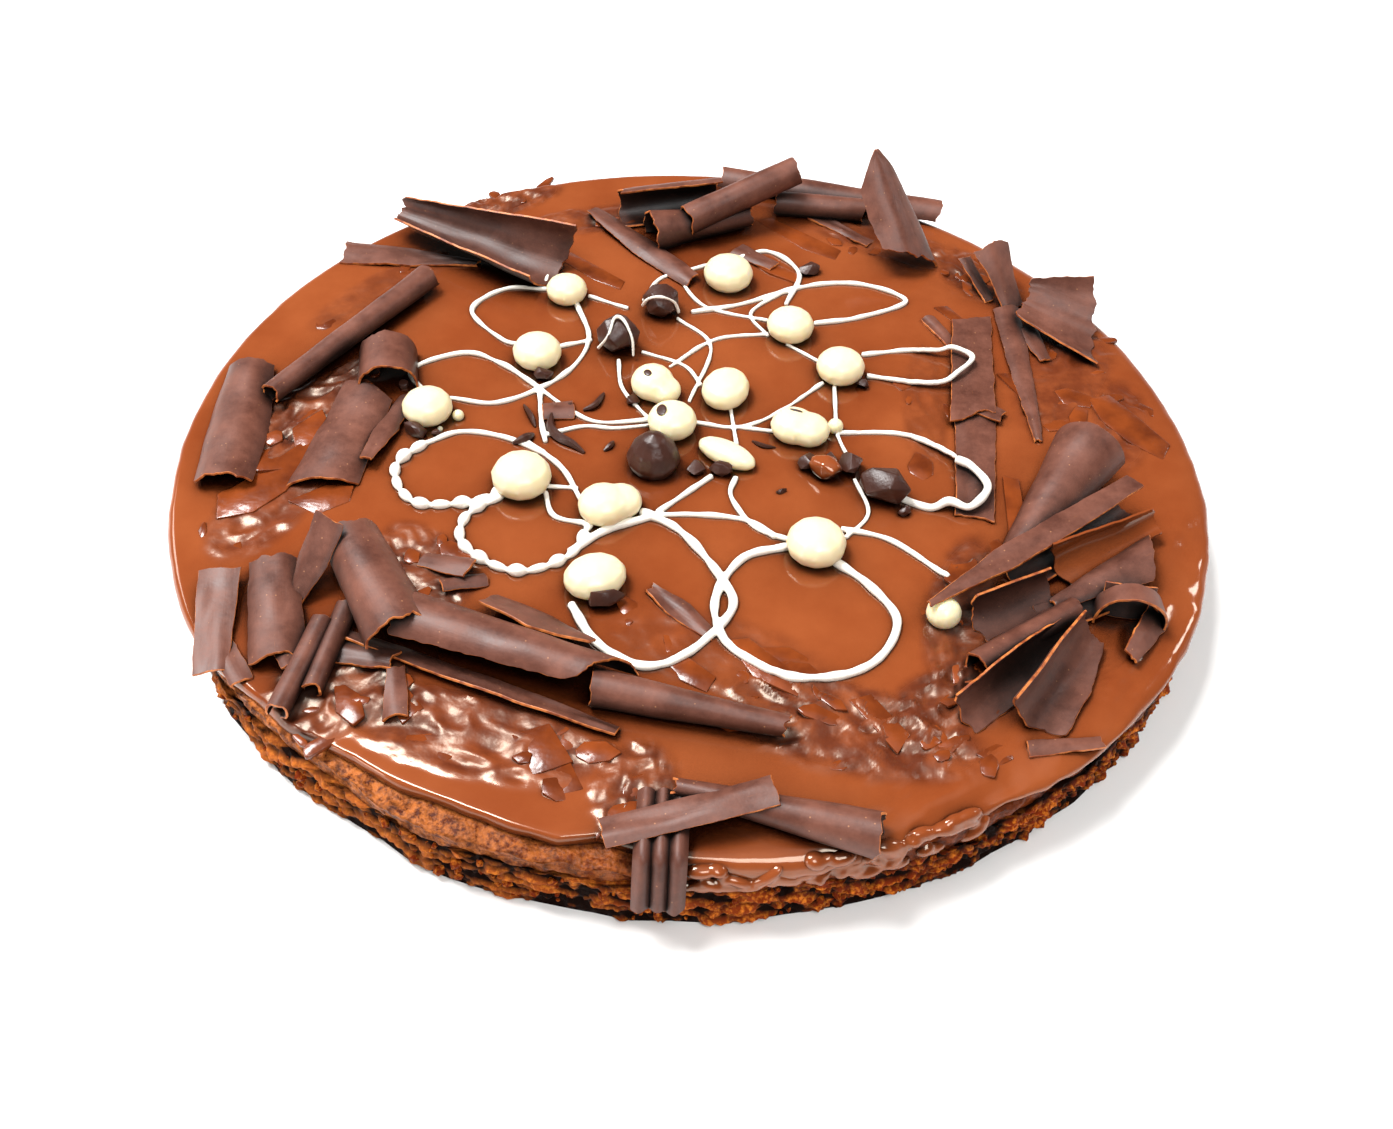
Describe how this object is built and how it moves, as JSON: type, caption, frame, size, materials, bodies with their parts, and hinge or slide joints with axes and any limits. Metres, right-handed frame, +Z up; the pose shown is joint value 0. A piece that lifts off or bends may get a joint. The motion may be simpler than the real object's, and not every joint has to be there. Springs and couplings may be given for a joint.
{
  "type": "chocolate cake",
  "caption": "Flat round chocolate cake with crumbly sponge, mousse layer and glossy milk chocolate glaze, topped with white drops, a piped white flower and dark chocolate curls.",
  "frame": {"origin": "middle of the underside of the sponge", "axes": "+Z up through the cake, -Y towards the front, where the mousse shows under the glaze, +X to the right of that"},
  "size_m": [0.2609, 0.2586, 0.0497],
  "materials": {
    "chocolate_sponge": "open dark crumb, dry and rough",
    "chocolate_mousse": "smooth, soft and slightly moist",
    "milk_chocolate_glaze": "poured, wet gloss",
    "white_chocolate": "set chocolate, soft gloss",
    "dark_chocolate": "shaved chocolate, satin"
  },
  "bodies": {
    "root": {"sponge": "chocolate_sponge", "mousse": "chocolate_mousse", "glaze": "milk_chocolate_glaze", "curl_back_edge_strip": "dark_chocolate", "curl_back_left_scroll": "dark_chocolate", "curl_back_left_shard": "dark_chocolate", "curl_back_left_sheet": "dark_chocolate", "curl_back_loop": "dark_chocolate", "curl_back_rising_roll": "dark_chocolate", "curl_back_roll": "dark_chocolate", "curl_back_short_roll": "dark_chocolate", "curl_back_standing_leaf": "dark_chocolate", "curl_back_strip": "dark_chocolate", "curl_cracked_sheet": "dark_chocolate", "curl_edge_shard": "dark_chocolate", "curl_front_edge_roll": "dark_chocolate", "curl_front_edge_strip": "dark_chocolate", "curl_front_hanging": "dark_chocolate", "curl_front_left_arch": "dark_chocolate", "curl_front_left_roll": "dark_chocolate", "curl_front_long_sheet": "dark_chocolate", "curl_front_roll": "dark_chocolate", "curl_left_arch": "dark_chocolate", "curl_left_half_tube": "dark_chocolate", "curl_left_long_roll": "dark_chocolate", "curl_left_sheet": "dark_chocolate", "curl_right_blade": "dark_chocolate", "curl_right_cone": "dark_chocolate", "curl_right_fan": "dark_chocolate", "curl_right_long_sheet": "dark_chocolate", "curl_right_lower_sheet": "dark_chocolate", "curl_right_open_roll": "dark_chocolate", "curl_right_ridge": "dark_chocolate", "curl_right_shell": "dark_chocolate", "curl_right_short_roll": "dark_chocolate", "curl_right_strip": "dark_chocolate", "curl_right_tall_shard": "dark_chocolate", "curl_right_trough": "dark_chocolate", "curl_right_upper_sheet": "dark_chocolate", "dark_chunk_1": "dark_chocolate", "dark_chunk_2": "dark_chocolate", "dark_chunk_3": "dark_chocolate", "dark_chunk_4": "dark_chocolate", "dark_drop": "dark_chocolate", "white_drop_1": "white_chocolate", "white_drop_10": "white_chocolate", "white_drop_11": "white_chocolate", "white_drop_12": "white_chocolate", "white_drop_13": "white_chocolate", "white_drop_14": "white_chocolate", "white_drop_15": "white_chocolate", "white_drop_16": "white_chocolate", "white_drop_2": "white_chocolate", "white_drop_3": "white_chocolate", "white_drop_4": "white_chocolate", "white_drop_5": "white_chocolate", "white_drop_6": "white_chocolate", "white_drop_7": "white_chocolate", "white_drop_8": "white_chocolate", "white_drop_9": "white_chocolate"}
  },
  "joints": []
}
